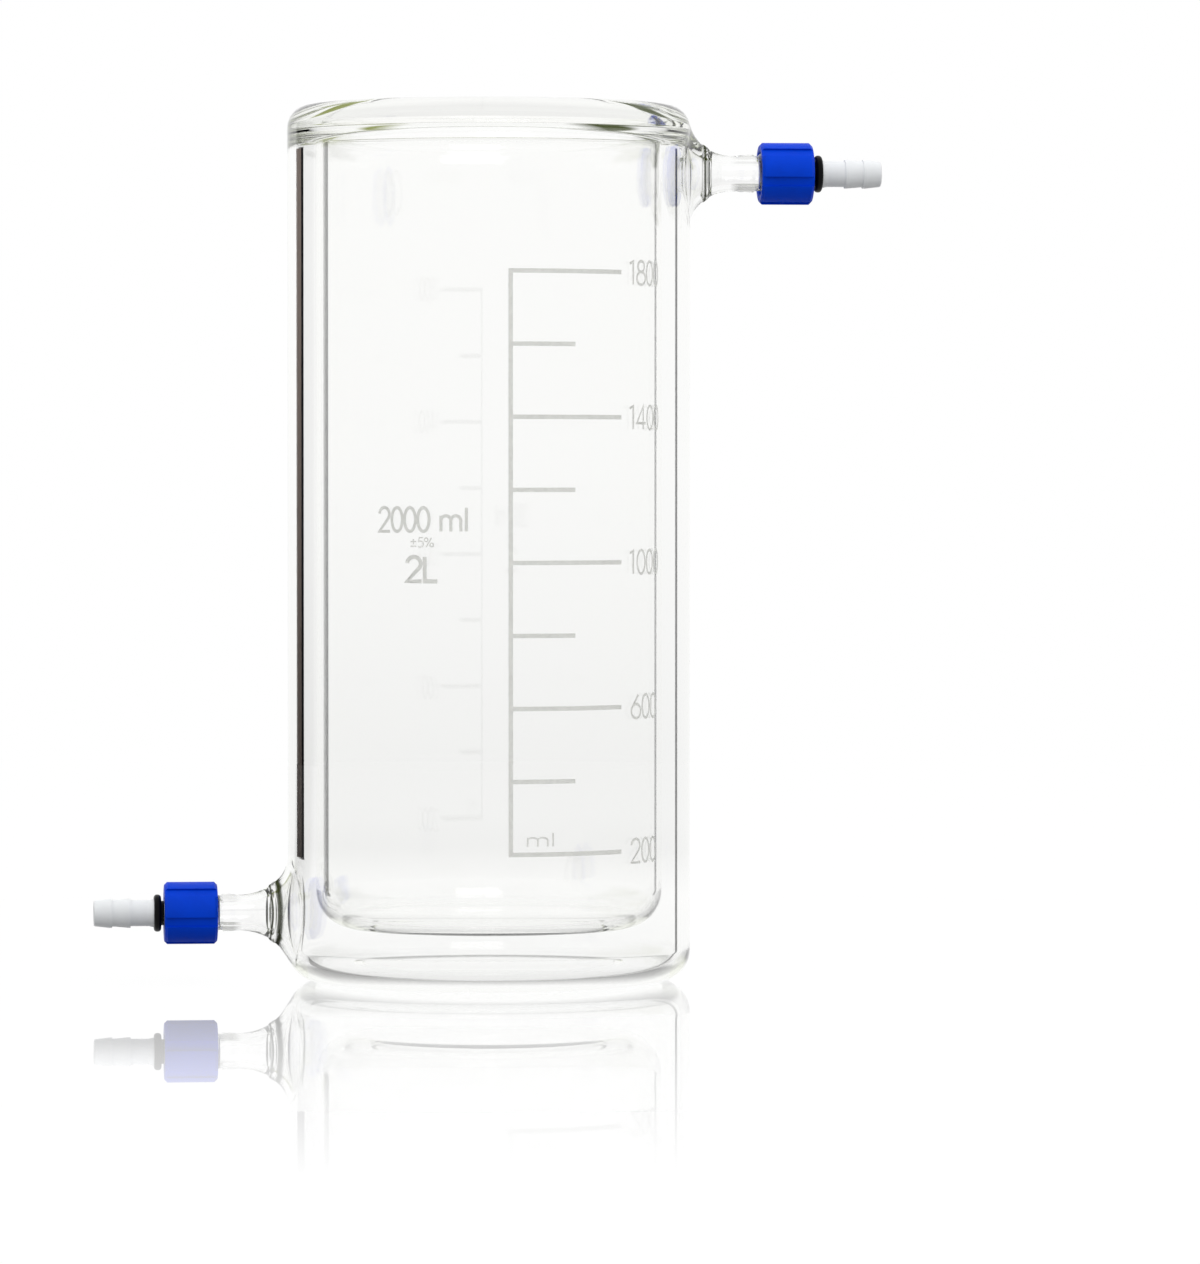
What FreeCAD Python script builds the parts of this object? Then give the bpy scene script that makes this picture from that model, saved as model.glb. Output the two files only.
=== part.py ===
"""Jacketed beaker, 2 litres, with two screw-on hose connectors.

Millimetres. +Z is up, the origin is the centre of the base on the surface it stands on.
The upper side arm points to +X and the lower one to -X.
"""
import FreeCAD, Part
import math
import os

from FreeCAD import Vector

# Glass body
HEIGHT = 278.0
JACKET_RADIUS = 64.0
JACKET_WALL = 3.0
JACKET_BASE = 3.5
JACKET_CORNER = 10.0
FOOT_HOLLOW = 0.8
FOOT_WIDTH = 12.0
WATER_GAP = 6.0
VESSEL_WALL = 2.0
VESSEL_BASE = 2.5
VESSEL_CORNER = 10.0
WATER_DEPTH_BELOW = 13.5

# Rim, where the jacket turns in to meet the vessel
SEAM_STEP = 2.0
RIM_THICKNESS = 7.5
LIP_ROUND = 3.0
MOUTH_FLARE = 11.0
CROWN_BLEND = 7.0

# Side arms
ARM_RADIUS = 5.65
ARM_BORE_RADIUS = 3.95
ARM_LENGTH = 34.6
UPPER_ARM_DROP = 21.0
LOWER_ARM_HEIGHT = 22.0
UPPER_ROOT_BLEND = 13.0
LOWER_ROOT_BLEND = 13.0
BORE_BLEND = 8.0
ROOT_RADIUS = 13.0

# Screw end of each side arm
THREAD_RADIUS = 6.8
THREAD_LENGTH = 11.0
NECK_TAPER = 2.5
COLLAR_RADIUS = 6.05
COLLAR_WIDTH = 1.8
COLLAR_GAP = 1.0

# Screw cap
CAP_RADIUS = 9.85
CAP_LENGTH = 16.7
CAP_CHAMFER = 0.9
CAP_END_WALL = 1.8
CAP_GROOVES = 6
CAP_GROOVE_WIDTH = 3.2
CAP_GROOVE_DEPTH = 0.8
THREAD_CLEARANCE = 0.2

# Turn at which each screw cap comes tight, in degrees
UPPER_CAP_TURN = 47.0
LOWER_CAP_TURN = 15.5

# Sealing washer and hose nozzle
WASHER_THICKNESS = 1.4
WASHER_BORE_RADIUS = 3.2
FLANGE_THICKNESS = 1.5
FLANGE_CLEARANCE = 0.4
NOZZLE_BORE_RADIUS = 2.95
NOZZLE_NECK_RADIUS = 3.9
NECK_CLEARANCE = 0.1
END_PLAY = 0.1
STEM_RADIUS = 4.1
SHOULDER_RADIUS = 4.5
SHOULDER_LENGTH = 1.8
BARB_RADIUS = 4.6
BARB_LAND = 0.8
BARB_ROOT_RADIUS = 4.15
BARB_PITCH = 5.8
TIP_RADIUS = 4.05
TIP_CHAMFER = 0.3
STEM_LENGTH = 19.0

# Retaining ring in its groove
RING_GROOVE_RADIUS = 3.45
RING_RADIUS = 5.9
RING_WIDTH = 2.3
RING_ROUND = 1.0
RING_COLLAR = 0.9

# Worked out from the sizes above
JACKET_BORE_RADIUS = JACKET_RADIUS - JACKET_WALL
VESSEL_RADIUS = JACKET_BORE_RADIUS - WATER_GAP
VESSEL_BORE_RADIUS = VESSEL_RADIUS - VESSEL_WALL
SEAM_RADIUS = VESSEL_RADIUS + SEAM_STEP
CROWN_HEIGHT = HEIGHT - RIM_THICKNESS
VESSEL_UNDERSIDE = JACKET_BASE + WATER_DEPTH_BELOW
VESSEL_FLOOR = VESSEL_UNDERSIDE + VESSEL_BASE
GLASS_END = JACKET_RADIUS + ARM_LENGTH
FLANGE_START = GLASS_END + WASHER_THICKNESS
FLANGE_END = FLANGE_START + FLANGE_THICKNESS
CAP_END = FLANGE_END + END_PLAY + CAP_END_WALL
CAP_MOUTH = CAP_END - CAP_LENGTH
RING_COLLAR_START = CAP_END + END_PLAY
RING_START = RING_COLLAR_START + RING_COLLAR
RING_END = RING_START + RING_WIDTH
TIP = RING_END + STEM_LENGTH
UPPER_ARM_HEIGHT = HEIGHT - UPPER_ARM_DROP

AXIS_Z = Vector(0, 0, 1)
AXIS_X = Vector(1, 0, 0)
ORIGIN = Vector(0, 0, 0)

# How far an edge may lie from its expected place and still be the one that is meant
EDGE_REACH = 0.5


def line(start, end):
    """Straight edge between two points of a profile, (radius, height)."""
    return Part.LineSegment(Vector(start[0], 0, start[1]), Vector(end[0], 0, end[1])).toShape()


def arc(centre, radius, first, last):
    """Round edge of a profile about a centre (radius, height), between two angles in degrees."""
    points = []
    for angle in (first, (first + last) / 2, last):
        turn = math.radians(angle)
        points.append(Vector(centre[0] + radius * math.cos(turn), 0, centre[1] + radius * math.sin(turn)))
    return Part.Arc(*points).toShape()


def lathe(edges):
    """Solid turned about the beaker's own axis, with its seam line a quarter turn from the side arms."""
    solid = Part.Face(Part.Wire(edges)).revolve(ORIGIN, AXIS_Z, 360)
    solid.rotate(ORIGIN, AXIS_Z, 90)
    return solid


def turned(points):
    """Solid turned about the X axis from the corners of a profile, (distance, radius)."""
    corners = [Vector(x, 0, radius) for x, radius in points]
    profile = Part.makePolygon(corners + corners[:1])
    return Part.Face(profile).revolve(ORIGIN, AXIS_X, 360)


def rod(radius, start, end):
    """Round rod along X, centred on the connector's axis."""
    return Part.makeCylinder(radius, end - start, Vector(start, 0, 0), AXIS_X)


def at_upper_arm(shape):
    """Copy of a connector shape, moved to the upper side arm."""
    placed = shape.copy()
    placed.translate(Vector(0, 0, UPPER_ARM_HEIGHT))
    return placed


def at_lower_arm(shape):
    """Copy of a connector shape, turned round to the lower side arm."""
    placed = shape.copy()
    placed.rotate(ORIGIN, AXIS_Z, 180)
    placed.translate(Vector(0, 0, LOWER_ARM_HEIGHT))
    return placed


def make_vessel():
    """Inner vessel: straight wall, rounded base, mouth that flares and rolls over into the ring seal."""
    corner = VESSEL_CORNER + VESSEL_WALL
    blend = max(CROWN_BLEND, SEAM_STEP)
    crown_turn = math.degrees(math.acos(1 - SEAM_STEP / blend))
    crown_start = CROWN_HEIGHT - blend * math.sin(math.radians(crown_turn))
    lip_radius = SEAM_RADIUS - LIP_ROUND
    return lathe([
        line((0, VESSEL_UNDERSIDE), (VESSEL_RADIUS - corner, VESSEL_UNDERSIDE)),
        arc((VESSEL_RADIUS - corner, VESSEL_UNDERSIDE + corner), corner, -90, 0),
        line((VESSEL_RADIUS, VESSEL_UNDERSIDE + corner), (VESSEL_RADIUS, crown_start)),
        arc((VESSEL_RADIUS + blend, crown_start), blend, 180, 180 - crown_turn),
        line((SEAM_RADIUS, CROWN_HEIGHT), (SEAM_RADIUS, HEIGHT)),
        arc((SEAM_RADIUS, HEIGHT - LIP_ROUND), LIP_ROUND, 90, 180),
        line((lip_radius, HEIGHT - LIP_ROUND), (VESSEL_BORE_RADIUS, HEIGHT - MOUTH_FLARE)),
        line((VESSEL_BORE_RADIUS, HEIGHT - MOUTH_FLARE), (VESSEL_BORE_RADIUS, VESSEL_FLOOR + VESSEL_CORNER)),
        arc((VESSEL_BORE_RADIUS - VESSEL_CORNER, VESSEL_FLOOR + VESSEL_CORNER), VESSEL_CORNER, 0, -90),
        line((VESSEL_BORE_RADIUS - VESSEL_CORNER, VESSEL_FLOOR), (0, VESSEL_FLOOR)),
        line((0, VESSEL_FLOOR), (0, VESSEL_UNDERSIDE)),
    ])


def jacket_outside():
    """The jacket's outer form as a full solid: foot, rounded base corner, wall and rim shoulder."""
    foot_outer = JACKET_RADIUS - JACKET_CORNER
    foot_inner = foot_outer - FOOT_WIDTH
    shoulder = JACKET_RADIUS - SEAM_RADIUS
    return lathe([
        line((0, FOOT_HOLLOW), (foot_inner - FOOT_HOLLOW, FOOT_HOLLOW)),
        line((foot_inner - FOOT_HOLLOW, FOOT_HOLLOW), (foot_inner, 0)),
        line((foot_inner, 0), (foot_outer, 0)),
        arc((foot_outer, JACKET_CORNER), JACKET_CORNER, -90, 0),
        line((JACKET_RADIUS, JACKET_CORNER), (JACKET_RADIUS, HEIGHT - shoulder)),
        arc((SEAM_RADIUS, HEIGHT - shoulder), shoulder, 0, 90),
        line((SEAM_RADIUS, HEIGHT), (0, HEIGHT)),
        line((0, HEIGHT), (0, FOOT_HOLLOW)),
    ])


def jacket_inside():
    """Everything that is not jacket inside it: the water space, and the vessel's place up to the seam."""
    corner = JACKET_CORNER - JACKET_WALL
    arch = JACKET_BORE_RADIUS - SEAM_RADIUS
    blend = max(CROWN_BLEND, arch)
    crown_turn = math.degrees(math.acos(1 - arch / blend))
    crown_start = CROWN_HEIGHT - blend * math.sin(math.radians(crown_turn))
    above = HEIGHT + RIM_THICKNESS
    return lathe([
        line((0, JACKET_BASE), (JACKET_BORE_RADIUS - corner, JACKET_BASE)),
        arc((JACKET_BORE_RADIUS - corner, JACKET_BASE + corner), corner, -90, 0),
        line((JACKET_BORE_RADIUS, JACKET_BASE + corner), (JACKET_BORE_RADIUS, crown_start)),
        arc((JACKET_BORE_RADIUS - blend, crown_start), blend, 0, crown_turn),
        line((SEAM_RADIUS, CROWN_HEIGHT), (SEAM_RADIUS, above)),
        line((SEAM_RADIUS, above), (0, above)),
        line((0, above), (0, JACKET_BASE)),
    ])


def arm_outside():
    """Side arm with its collar and screw end, reaching inside the jacket's wall."""
    thread_start = GLASS_END - THREAD_LENGTH
    collar_end = thread_start - COLLAR_GAP
    collar_start = collar_end - COLLAR_WIDTH
    return turned([
        (VESSEL_RADIUS, 0),
        (VESSEL_RADIUS, ARM_RADIUS),
        (collar_start - NECK_TAPER, ARM_RADIUS),
        (collar_start, COLLAR_RADIUS),
        (collar_end, COLLAR_RADIUS),
        (thread_start, THREAD_RADIUS),
        (GLASS_END, THREAD_RADIUS),
        (GLASS_END, 0),
    ])


def root_edges(shape, side, height, radius, wall_radius):
    """Edges where a rod of this radius leaves a wall of this radius, on one side and at one height."""
    found = []
    for edge in shape.Edges:
        box = edge.BoundBox
        centred = abs((box.ZMin + box.ZMax) / 2 - height) < EDGE_REACH
        round_the_rod = abs(box.ZLength - 2 * radius) < EDGE_REACH and box.YLength > radius
        reach = box.XMax if side > 0 else -box.XMin
        if centred and round_the_rod and abs(reach - wall_radius) < EDGE_REACH:
            found.append(edge)
    return found


def make_jacket_and_arms():
    """Outer glass: jacket and arms blown together, then parted again at each arm's root seam."""
    outside = jacket_outside().fuse([at_upper_arm(arm_outside()), at_lower_arm(arm_outside())])
    outside = outside.removeSplitter()
    bore = rod(ARM_BORE_RADIUS, VESSEL_RADIUS, GLASS_END + WASHER_THICKNESS)
    inside = jacket_inside().fuse([at_upper_arm(bore), at_lower_arm(bore)]).removeSplitter()

    for side, height, blend in (
            (1, UPPER_ARM_HEIGHT, UPPER_ROOT_BLEND), (-1, LOWER_ARM_HEIGHT, LOWER_ROOT_BLEND)):
        edges = root_edges(outside, side, height, ARM_RADIUS, JACKET_RADIUS)
        outside = outside.makeFillet(blend, edges)
        edges = root_edges(inside, side, height, ARM_BORE_RADIUS, JACKET_BORE_RADIUS)
        inside = inside.makeFillet(BORE_BLEND, edges)

    glass = outside.cut(inside)
    seam = rod(ROOT_RADIUS, VESSEL_RADIUS, TIP)
    upper_seam = at_upper_arm(seam)
    lower_seam = at_lower_arm(seam)
    jacket = glass.cut(upper_seam.fuse(lower_seam))
    return jacket, glass.common(upper_seam), glass.common(lower_seam)


def make_cap(tight_turn):
    """Screw cap: plain bore over the screw end, end wall with the nozzle's hole, flat-bottomed grip grooves."""
    bore = THREAD_RADIUS + THREAD_CLEARANCE
    hole = NOZZLE_NECK_RADIUS + NECK_CLEARANCE
    end_wall = CAP_END - CAP_END_WALL
    cap = turned([
        (CAP_MOUTH, bore + CAP_CHAMFER / 2),
        (CAP_MOUTH, CAP_RADIUS - CAP_CHAMFER),
        (CAP_MOUTH + CAP_CHAMFER, CAP_RADIUS),
        (CAP_END - CAP_CHAMFER, CAP_RADIUS),
        (CAP_END, CAP_RADIUS - CAP_CHAMFER),
        (CAP_END, hole),
        (end_wall, hole),
        (end_wall, bore),
        (CAP_MOUTH + CAP_CHAMFER / 2, bore),
    ])
    groove = Part.makeBox(CAP_LENGTH, CAP_GROOVE_WIDTH, CAP_GROOVE_DEPTH * 2,
                          Vector(CAP_MOUTH, -CAP_GROOVE_WIDTH / 2, CAP_RADIUS - CAP_GROOVE_DEPTH))
    grooves = []
    for count in range(CAP_GROOVES):
        turned_groove = groove.copy()
        turned_groove.rotate(ORIGIN, AXIS_X, tight_turn + 360.0 * count / CAP_GROOVES)
        grooves.append(turned_groove)
    return cap.cut(Part.makeCompound(grooves))


def make_washer():
    """Flat sealing washer between the glass end and the nozzle's flange."""
    return rod(THREAD_RADIUS - FLANGE_CLEARANCE / 2, GLASS_END, FLANGE_START).cut(
        rod(WASHER_BORE_RADIUS, GLASS_END, FLANGE_START))


def make_nozzle():
    """Hose nozzle: flange inside the cap, neck through it, ring groove, shoulder, stem and two barbs."""
    flange_radius = THREAD_RADIUS - FLANGE_CLEARANCE / 2
    last_crest = TIP - BARB_PITCH
    first_crest = last_crest - BARB_PITCH
    return turned([
        (FLANGE_START, NOZZLE_BORE_RADIUS),
        (FLANGE_START, flange_radius),
        (FLANGE_END, flange_radius),
        (FLANGE_END, NOZZLE_NECK_RADIUS),
        (RING_COLLAR_START, NOZZLE_NECK_RADIUS),
        (RING_COLLAR_START, RING_GROOVE_RADIUS),
        (RING_END, RING_GROOVE_RADIUS),
        (RING_END, SHOULDER_RADIUS),
        (RING_END + SHOULDER_LENGTH, STEM_RADIUS),
        (first_crest, STEM_RADIUS),
        (first_crest, BARB_RADIUS),
        (first_crest + BARB_LAND, BARB_RADIUS),
        (last_crest, BARB_ROOT_RADIUS),
        (last_crest, BARB_RADIUS),
        (last_crest + BARB_LAND, BARB_RADIUS),
        (TIP - TIP_CHAMFER, TIP_RADIUS),
        (TIP, TIP_RADIUS - TIP_CHAMFER),
        (TIP, NOZZLE_BORE_RADIUS),
    ])


def make_ring():
    """Retaining ring: a thick round ring with a short collar against the cap, seated in the groove."""
    inner = RING_GROOVE_RADIUS
    collar = NOZZLE_NECK_RADIUS
    collar_part = rod(collar, RING_COLLAR_START, RING_START + RING_ROUND).cut(
        rod(inner, RING_COLLAR_START, RING_START + RING_ROUND))
    ring = rod(RING_RADIUS, RING_START, RING_END).cut(rod(inner, RING_START, RING_END))
    thin = RING_WIDTH / 4
    crests = [edge for edge in ring.Edges
              if edge.BoundBox.ZMax > RING_RADIUS - thin and edge.BoundBox.XLength < thin]
    return ring.makeFillet(RING_ROUND, crests).fuse(collar_part).removeSplitter()


def save(shape, node):
    """One solid, one file."""
    shape.Solids[0].exportStep("parts/" + node + ".step")


os.makedirs("parts", exist_ok=True)

outer_jacket, upper_arm, lower_arm = make_jacket_and_arms()
save(make_vessel(), "inner_vessel")
save(outer_jacket, "outer_jacket")
save(upper_arm, "upper_side_arm")
save(lower_arm, "lower_side_arm")

save(at_upper_arm(make_cap(UPPER_CAP_TURN)), "upper_screw_cap")
save(at_lower_arm(make_cap(LOWER_CAP_TURN)), "lower_screw_cap")

for name, make in (
        ("hose_nozzle", make_nozzle), ("sealing_washer", make_washer), ("retaining_ring", make_ring)):
    piece = make()
    save(at_upper_arm(piece), "upper_" + name)
    save(at_lower_arm(piece), "lower_" + name)
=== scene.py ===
"""Looks of the jacketed beaker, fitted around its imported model.

The four glass nodes are shown as one fused glass body, because a glassblower's seams leave no surface
inside the glass. Profiles and places are in millimetres; objects are made in metres. +Z is up.
"""

import math

import bmesh
import bpy
import numpy as np
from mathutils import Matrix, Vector


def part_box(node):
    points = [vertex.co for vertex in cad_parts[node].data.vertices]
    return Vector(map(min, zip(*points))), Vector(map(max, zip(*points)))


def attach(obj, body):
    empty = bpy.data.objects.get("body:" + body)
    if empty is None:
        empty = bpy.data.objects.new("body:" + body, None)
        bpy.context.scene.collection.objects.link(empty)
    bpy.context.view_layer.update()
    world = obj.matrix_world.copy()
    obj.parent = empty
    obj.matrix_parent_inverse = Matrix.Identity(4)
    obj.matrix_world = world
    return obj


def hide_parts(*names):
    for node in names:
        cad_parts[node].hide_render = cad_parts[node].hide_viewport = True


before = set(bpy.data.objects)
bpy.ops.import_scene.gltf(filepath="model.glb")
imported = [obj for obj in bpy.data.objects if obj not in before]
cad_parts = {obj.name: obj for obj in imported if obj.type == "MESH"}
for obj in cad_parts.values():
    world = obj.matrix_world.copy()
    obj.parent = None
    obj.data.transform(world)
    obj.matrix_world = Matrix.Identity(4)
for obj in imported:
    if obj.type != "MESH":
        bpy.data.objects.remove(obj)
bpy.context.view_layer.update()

MM = 0.001

# Camera and table, in metres and degrees
SENSOR_HEIGHT = 36.0
LENS = 190.0
CAMERA_PLACE = (-0.1851, -2.1159, 0.1625)
CAMERA_DOWN = 1.392
CAMERA_TURN = -5.954
FLOOR_RADIUS = 1.6


def low(node):
    """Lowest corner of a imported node, in millimetres."""
    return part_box(node)[0] / MM


def high(node):
    """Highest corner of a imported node, in millimetres."""
    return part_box(node)[1] / MM


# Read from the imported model
HEIGHT = high("outer_jacket").z
JACKET_R = high("outer_jacket").y
UPPER_ARM_Z = (low("upper_hose_nozzle").z + high("upper_hose_nozzle").z) / 2
LOWER_ARM_Z = (low("lower_hose_nozzle").z + high("lower_hose_nozzle").z) / 2
GLASS_END = high("upper_side_arm").x
VESSEL_UNDERSIDE = low("inner_vessel").z

# Glass walls and corners
JACKET_WALL = 3.0
WATER_GAP = 6.0
VESSEL_WALL = 2.0
SEAM_STEP = 2.0
JACKET_BORE_R = JACKET_R - JACKET_WALL
VESSEL_R = JACKET_BORE_R - WATER_GAP
BORE_R = VESSEL_R - VESSEL_WALL
SEAM_R = VESSEL_R + SEAM_STEP
BASE_CORNER = 10.0
BASE_CORNER_INSIDE = 7.0
FOOT_HOLLOW = 0.8
FOOT_INNER_R = 42.0
FOOT_EDGE_ROUND = 2.0
FOOT_TREAD_ROUND = 1.6
FOOT_SLOPE = 28.0
JACKET_BASE = 3.5
VESSEL_BASE = 2.5
VESSEL_FLOOR = VESSEL_UNDERSIDE + VESSEL_BASE
VESSEL_CORNER = 10.0
VESSEL_CORNER_OUTSIDE = 12.0
MOUTH_R = 54.0
MOUTH_DEPTH = 11.0
MOUTH_BEND = 40.0
LIP_ROUND = 3.0
CROWN_DEPTH = 7.5
CROWN_BEND = 7.0
CROWN_ROUND = 1.5

# Holes left in the walls for the side arms: length of straight wall, rows of faces in it, degrees of the bend
UPPER_HOLE = (34.0, 34, 50)
UPPER_HOLE_INSIDE = (25.5, 34, 50)
LOWER_HOLE = (32.0, 32, 50)
LOWER_HOLE_INSIDE = (30.0, 30, 60)

# Side arms, blown out of the jacket's wall
ARM_R = 5.65
ARM_BORE_R = 3.95
COLLAR_R = 6.0
COLLAR_ENDS = (83.6, 84.6)
THREAD_ROOT_R = 5.5
THREAD_CREST_R = 6.75
THREAD_PITCH = 2.5
THREAD_START = 86.0
THREAD_ENDS_BEFORE = 1.0
THREAD_FADE = 1.2
THREAD_SHARPNESS = 1.3
THREAD_ROW = 0.28
END_ROUND = 0.6

# Trumpet roots: length along the arm, reach beside and below the arm, reach above it
UPPER_ROOT = (14.0, 12.3, 12.3)
LOWER_ROOT = (16.0, 12.5, 12.5)
UPPER_ROOT_BORE = (16.0, 13.0, 8.2)
LOWER_ROOT_BORE = (17.5, 13.0, 13.0)
WELD_OUT = 5.3
WELD_HALF_WIDTH = 0.95
WELD_RISE = 0.45
WELD_DIP_INSIDE = 0.18
WELD_ROW = 0.2
WELD_ROWS_BEFORE = 13
WELD_ROWS_AFTER = 8
# Dark lines painted as shade on the outside of each weld, standing in for the shade its joint shows by
# refraction; each given by its distance out and half width
UPPER_PAINTED_WELD_LINES = ((4.9, 0.4), (6.1, 0.22))
LOWER_PAINTED_WELD_LINES = ((3.8, 0.75), (6.05, 0.25))
# Share of the dark lines painted as shade along the lowest and highest sides of the arms' bores
PAINTED_BORE_LINE_BELOW = 0.5
PAINTED_BORE_LINE_ABOVE = 0.15
ROOT_STEPS = 6
ROOT_BEND_STEP = 6

# Height above each floor at which a bore's dark line, painted as shade, starts
VESSEL_LINE_FROM = 9.0
JACKET_LINE_FROM = 2.0

# Enamel print on the vessel, as seen from the camera's side: angles to the right of the middle, in degrees
VIEW_TURN = -95.0
SCALE_LINE = 7.0
LONG_TICK_END = 47.8
SHORT_TICK_END = 28.8
SCALE_FIRST_Z = 43.0
SCALE_STEP = 22.66
SCALE_MARKS = 9
SCALE_STROKE = 1.4
NUMBERS_FROM = 51.2
THREE_SIGNS_IN = 1.2
NUMBER_HEIGHT = 7.4
NUMBER_STROKE = 0.85
NUMBER_SPREAD = 1.35
UNIT_FROM = 4.6
UNIT_RISE = 4.6
UNIT_HEIGHT = 4.2
UNIT_SPREAD = 1.9
UNIT_STROKE = 0.55

# Capacity at the left of the scale. Each line has its text, height of its middle, height of its signs,
# stroke and spread.
CAPACITY_MIDDLE = -22.0
CAPACITY_LINES = (
    ("2000 ml", 147.1, 7.4, 1.0, 1.05),
    ("+5%", 140.0, 2.9, 0.4, 1.3),
    ("2L", 131.7, 7.6, 1.3, 1.25))

# How far the print stands out of the glass and into it, and the longest straight piece of a tick
PRINT_LIFT = 0.05
PRINT_SINK = 0.02
PRINT_STEP = 1.5

# Columns of faces round the beaker, columns on each side of an arm's hole, and degrees for a face in a bend
COLUMNS = 240
ARM_COLUMNS = 14
BEND_STEP = 5.0


def straight(start, end, steps):
    """Points of a straight stretch of profile, (radius, height), without its last point."""
    along_r, along_z = end[0] - start[0], end[1] - start[1]
    return [(start[0] + along_r * k / steps, start[1] + along_z * k / steps, along_r, along_z)
            for k in range(steps)]


def bend(centre, radius, first, last, step=BEND_STEP):
    """Points of a round stretch of profile about a centre, with the direction of travel at each."""
    steps = max(2, round(abs(last - first) / step))
    sense = 1 if last > first else -1
    points = []
    for k in range(steps + 1):
        turn = math.radians(first + (last - first) * k / steps)
        points.append((centre[0] + radius * math.cos(turn), centre[1] + radius * math.sin(turn),
                       -sense * math.sin(turn), sense * math.cos(turn)))
    return points


def stations(stretches, side):
    """Profile as (radius, height, normal), with the normals pointing out of the glass."""
    made = []
    for r, z, along_r, along_z in [point for stretch in stretches for point in stretch]:
        if made and math.hypot(r - made[-1][0], z - made[-1][1]) < 1e-6:
            continue
        size = math.hypot(along_r, along_z)
        made.append((r, z, side * along_z / size, -side * along_r / size))
    return made


def outer_profile():
    """From the middle of the foot, up the jacket, over the rim and down inside the vessel."""
    shoulder = JACKET_R - SEAM_R
    shoulder_z = HEIGHT - shoulder
    corner_r = JACKET_R - BASE_CORNER
    lip_r = MOUTH_R + LIP_ROUND
    cone = math.degrees(math.atan((MOUTH_R - BORE_R) / (MOUTH_DEPTH - LIP_ROUND)))
    lip_end = 180 + cone
    lip_low = (lip_r + LIP_ROUND * math.cos(math.radians(lip_end)),
               HEIGHT - LIP_ROUND + LIP_ROUND * math.sin(math.radians(lip_end)))
    neck_z = HEIGHT - MOUTH_DEPTH - MOUTH_BEND * math.tan(math.radians(cone / 2))
    neck_top = (BORE_R + MOUTH_BEND * (1 - math.cos(math.radians(cone))),
                neck_z + MOUTH_BEND * math.sin(math.radians(cone)))
    hollow_r = FOOT_INNER_R - FOOT_EDGE_ROUND
    tread_r = FOOT_INNER_R + FOOT_TREAD_ROUND
    lower_end = BASE_CORNER + LOWER_HOLE[0]
    upper_start = shoulder_z - UPPER_HOLE[0]
    return stations([
        straight((0, FOOT_HOLLOW), (hollow_r, FOOT_HOLLOW), 8),
        bend((hollow_r, FOOT_HOLLOW - FOOT_EDGE_ROUND), FOOT_EDGE_ROUND, 90, 90 - FOOT_SLOPE, 7),
        bend((tread_r, FOOT_TREAD_ROUND), FOOT_TREAD_ROUND, -90 - FOOT_SLOPE, -90, 7),
        straight((tread_r, 0), (corner_r, 0), 4),
        bend((corner_r, BASE_CORNER), BASE_CORNER, -90, 0),
        straight((JACKET_R, BASE_CORNER), (JACKET_R, lower_end), LOWER_HOLE[1]),
        straight((JACKET_R, lower_end), (JACKET_R, upper_start), 8),
        straight((JACKET_R, upper_start), (JACKET_R, shoulder_z), UPPER_HOLE[1]),
        bend((SEAM_R, shoulder_z), shoulder, 0, 90),
        bend((lip_r, HEIGHT - LIP_ROUND), LIP_ROUND, 90, lip_end, 8),
        straight(lip_low, neck_top, 4),
        bend((BORE_R + MOUTH_BEND, neck_z), MOUTH_BEND, 180 - cone, 180, 1.5),
        straight((BORE_R, neck_z), (BORE_R, VESSEL_FLOOR + VESSEL_CORNER), 10),
        bend((BORE_R - VESSEL_CORNER, VESSEL_FLOOR + VESSEL_CORNER), VESSEL_CORNER, 0, -90),
        straight((BORE_R - VESSEL_CORNER, VESSEL_FLOOR), (0, VESSEL_FLOOR), 8),
        [(0, VESSEL_FLOOR, -1, 0)],
    ], 1)


def crown():
    """Gothic arch at the top of the water space, with a round point: three bends."""
    top = HEIGHT - CROWN_DEPTH
    wall_r = JACKET_BORE_R - CROWN_BEND
    vessel_r = VESSEL_R + CROWN_BEND
    wall_c = (wall_r, top - math.sqrt(CROWN_BEND**2 - (SEAM_R - wall_r)**2))
    vessel_c = (vessel_r, top - math.sqrt(CROWN_BEND**2 - (vessel_r - SEAM_R)**2))
    apart = math.dist(wall_c, vessel_c)
    along = ((vessel_c[0] - wall_c[0]) / apart, (vessel_c[1] - wall_c[1]) / apart)
    rise = math.sqrt((CROWN_BEND - CROWN_ROUND)**2 - (apart / 2)**2)
    point_c = ((wall_c[0] + vessel_c[0]) / 2 - along[1] * rise,
               (wall_c[1] + vessel_c[1]) / 2 + along[0] * rise)
    leave = math.degrees(math.atan2(point_c[1] - wall_c[1], point_c[0] - wall_c[0]))
    land = math.degrees(math.atan2(point_c[1] - vessel_c[1], point_c[0] - vessel_c[0]))
    return wall_c, leave, point_c, land, vessel_c


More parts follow.
